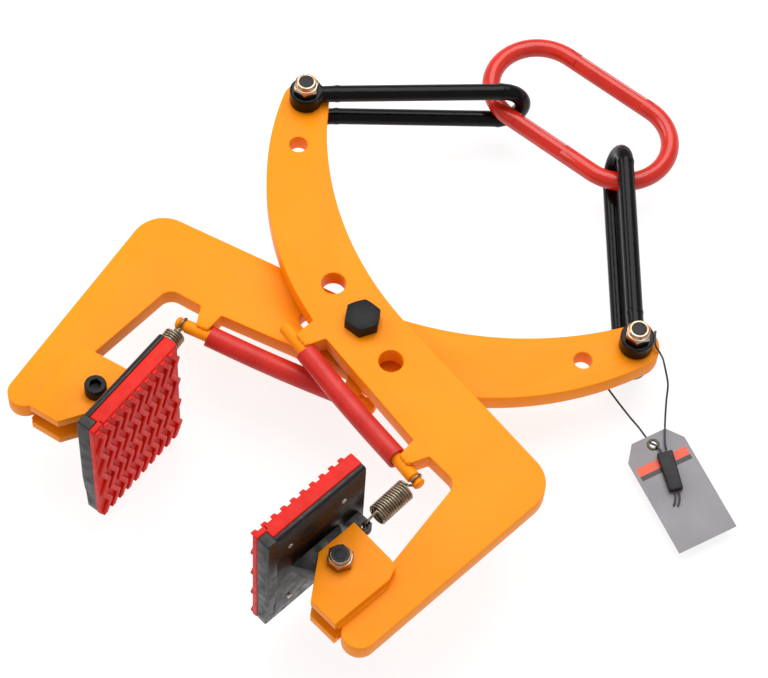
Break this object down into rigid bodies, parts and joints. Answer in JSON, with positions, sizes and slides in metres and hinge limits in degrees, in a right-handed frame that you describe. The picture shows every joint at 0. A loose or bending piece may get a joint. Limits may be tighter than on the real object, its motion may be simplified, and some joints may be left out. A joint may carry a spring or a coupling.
{
  "type": "slab lifting clamp",
  "caption": "Scissor lifting clamp: two crossed steel arms close two swivelling rubber-faced pads on a slab when its master link is lifted.",
  "frame": {"origin": "middle of the footprint, at the level of the lowest edge of the pads, with the plates lying flat", "axes": "+Z along the main pivot bolt towards its head, +Y from the pads towards the master link, +X towards the jaw of the first arm"},
  "size_m": [0.4785, 0.5122, 0.1415],
  "materials": {
    "orange_enamel": "semi-gloss orange-yellow enamel on flame-cut plate",
    "enamelled_rod": "enamel over welded round bar",
    "red_sleeve": "glossy pushed-on rubber tube",
    "black_oxide": "black oxide on high-tensile bolts",
    "yellow_zinc": "yellow-passivated zinc on locking nuts",
    "grey_zinc": "zinc plate",
    "bronze_bush": "turned bronze",
    "black_paint": "satin black paint on steel backing",
    "red_rubber": "matt moulded polyurethane rubber",
    "screw_zinc": "zinc-plated countersunk screws",
    "spring_steel": "drawn spring wire",
    "black_gloss": "gloss black coating on bent bar",
    "red_gloss": "gloss red coating on forged ring",
    "grey_card": "printed laminated card, bare here apart from plain bands",
    "black_plastic": "moulded plastic seal",
    "black_cable": "coated wire rope"
  },
  "bodies": {
    "arm_a": {"arm_a": "orange_enamel", "cheek_plates_a": "orange_enamel", "handle_rod_a": "enamelled_rod", "handle_sleeve_a": "red_sleeve", "pivot_bolt": "black_oxide", "pivot_bush": "bronze_bush", "pivot_spacer": "grey_zinc", "pivot_washer": "grey_zinc", "pivot_nut": "black_oxide", "jaw_bolt_a": "black_oxide", "jaw_nut_a": "yellow_zinc", "link_bolt_a": "black_oxide", "link_nut_a": "yellow_zinc", "return_spring_a": "spring_steel"},
    "arm_b": {"arm_b": "orange_enamel", "cheek_plates_b": "orange_enamel", "handle_rod_b": "enamelled_rod", "handle_sleeve_b": "red_sleeve", "jaw_bolt_b": "black_oxide", "jaw_nut_b": "yellow_zinc", "link_bolt_b": "black_oxide", "link_nut_b": "yellow_zinc", "return_spring_b": "spring_steel"},
    "pad_a": {"pad_backing_a": "black_paint", "pad_rubber_a": "red_rubber", "pad_screws_a": "screw_zinc"},
    "pad_b": {"pad_backing_b": "black_paint", "pad_rubber_b": "red_rubber", "pad_screws_b": "screw_zinc"},
    "link_a": {"link_a": "black_gloss"},
    "link_b": {"link_b": "black_gloss", "tag_card": "grey_card", "tag_eyelet": "black_plastic", "tag_seal": "black_plastic", "tag_cable": "black_cable", "cable_tails": "black_cable"},
    "master_link": {"master_link": "red_gloss"}
  },
  "joints": [
    {"name": "fold", "type": "hinge", "parent": "arm_a", "child": "arm_b", "pos_m": [0, -0.04982, 0.07075], "axis": [0, 0, 1], "range_deg": [-26, 34]},
    {"name": "link_a_swing", "type": "hinge", "parent": "arm_a", "child": "link_a", "pos_m": [-0.157, 0.07458, 0.0815], "axis": [0, 0, 1], "range_deg": [-26, 34]},
    {"name": "link_b_swing", "type": "hinge", "parent": "arm_b", "child": "link_b", "pos_m": [0.157, 0.07458, 0.06], "axis": [0, 0, 1], "range_deg": [-34, 26]},
    {"name": "ring_swing", "type": "hinge", "parent": "link_a", "child": "master_link", "pos_m": [-0.037, 0.21218, 0.07075], "axis": [0, 0, 1], "range_deg": [-17, 13]},
    {"name": "pad_a_swivel", "type": "hinge", "parent": "arm_a", "child": "pad_a", "pos_m": [0.1125, -0.21132, 0.0815], "axis": [0, 0, 1], "range_deg": [-10, 10], "stiffness_Nm_per_rad": 4, "deforming": ["return_spring_a"]},
    {"name": "pad_b_swivel", "type": "hinge", "parent": "arm_b", "child": "pad_b", "pos_m": [-0.1125, -0.21132, 0.06], "axis": [0, 0, 1], "range_deg": [-10, 10], "stiffness_Nm_per_rad": 4, "deforming": ["return_spring_b"]}
  ],
  "couplings": [
    {"joint": "link_a_swing", "follows": "fold", "ratio": 0.95},
    {"joint": "link_b_swing", "follows": "fold", "ratio": -0.95},
    {"joint": "ring_swing", "follows": "fold", "ratio": -0.45}
  ]
}
